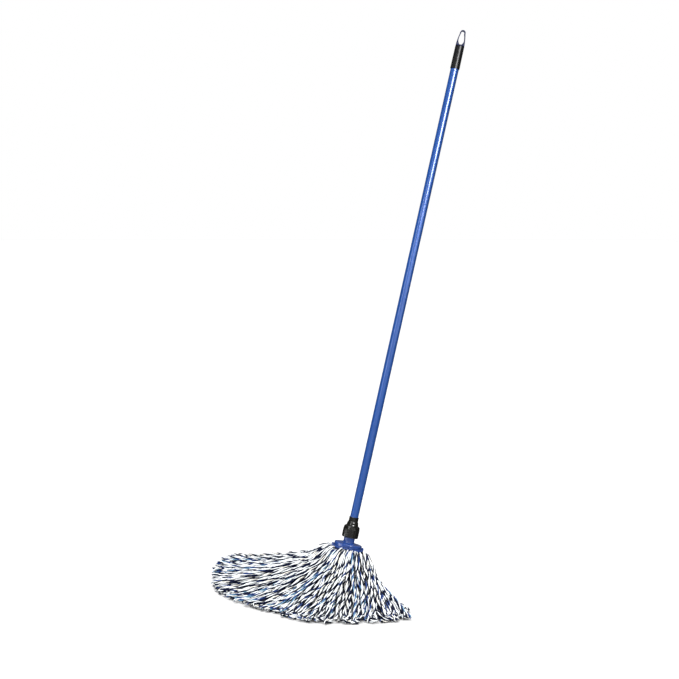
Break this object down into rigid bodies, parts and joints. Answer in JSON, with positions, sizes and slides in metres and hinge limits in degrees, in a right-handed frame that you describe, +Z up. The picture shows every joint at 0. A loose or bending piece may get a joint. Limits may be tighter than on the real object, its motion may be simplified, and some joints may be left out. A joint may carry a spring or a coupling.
{
  "type": "string mop",
  "caption": "Floor mop: slim blue tube handle with a hanging eye, clamped by a nut into a flanged socket over a ring refill of fanned twisted yarn.",
  "frame": {"origin": "on the floor, under the middle of the refill ring", "axes": "+Z up; the handle leans towards +X and a little towards +Y; the yarn trails towards -X; -Y is the front"},
  "size_m": [0.6769, 0.6069, 1.4525],
  "materials": {
    "tube_steel": "satin",
    "blue_film": "gloss",
    "blue_plastic": "gloss",
    "black_plastic": "satin",
    "black_sleeve": "satin",
    "natural_plastic": "satin",
    "screw_steel": "satin",
    "yarn": "matte"
  },
  "bodies": {
    "refill": {"refill_ring": "blue_plastic", "yarn_clamp_plate": "blue_plastic", "clamp_screws": "screw_steel", "yarn_core": "yarn", "yarn_bundle_01": "yarn", "yarn_bundle_02": "yarn", "yarn_bundle_03": "yarn", "yarn_bundle_04": "yarn", "yarn_bundle_05": "yarn", "yarn_bundle_06": "yarn", "yarn_bundle_07": "yarn", "yarn_bundle_08": "yarn", "yarn_bundle_09": "yarn", "yarn_bundle_10": "yarn", "yarn_bundle_11": "yarn", "yarn_bundle_12": "yarn", "yarn_bundle_13": "yarn", "yarn_bundle_14": "yarn", "yarn_bundle_15": "yarn", "yarn_bundle_16": "yarn", "yarn_bundle_17": "yarn", "yarn_bundle_18": "yarn", "yarn_bundle_19": "yarn", "yarn_bundle_20": "yarn", "yarn_bundle_21": "yarn", "yarn_bundle_22": "yarn", "yarn_bundle_23": "yarn", "yarn_bundle_24": "yarn", "yarn_bundle_25": "yarn", "yarn_bundle_26": "yarn", "yarn_bundle_27": "yarn", "yarn_bundle_28": "yarn", "yarn_bundle_29": "yarn"},
    "socket": {"socket": "blue_plastic"},
    "collet": {"split_collet": "natural_plastic"},
    "nut": {"lock_nut": "black_plastic"},
    "handle": {"handle_tube": "tube_steel", "tube_film": "blue_film", "tube_end_plug": "black_plastic", "grip_sleeve": "black_sleeve", "eye_bush": "natural_plastic"},
    "eye": {"hanging_eye": "blue_plastic"}
  },
  "joints": [
    {"name": "refill_release", "type": "slide", "parent": "refill", "child": "socket", "axis": [0.2189, 0.1274, 0.9674], "range_m": [0, 0.03]},
    {"name": "collet_travel", "type": "slide", "parent": "socket", "child": "collet", "axis": [0.2189, 0.1274, 0.9674], "range_m": [0, 0.0031]},
    {"name": "nut_turn", "type": "hinge", "parent": "collet", "child": "nut", "pos_m": [0.00985, 0.00573, 0.14353], "axis": [0.2189, 0.1274, 0.9674], "range_deg": [0, 360]},
    {"name": "handle_pull", "type": "slide", "parent": "socket", "child": "handle", "axis": [0.2189, 0.1274, 0.9674], "range_m": [0, 0.06]},
    {"name": "eye_swivel", "type": "hinge", "parent": "handle", "child": "eye", "pos_m": [0.29648, 0.1725, 1.41025], "axis": [0.2189, 0.1274, 0.9674], "continuous": true}
  ],
  "couplings": [
    {"joint": "collet_travel", "follows": "nut_turn", "m_per_rad": 0.00047746}
  ]
}
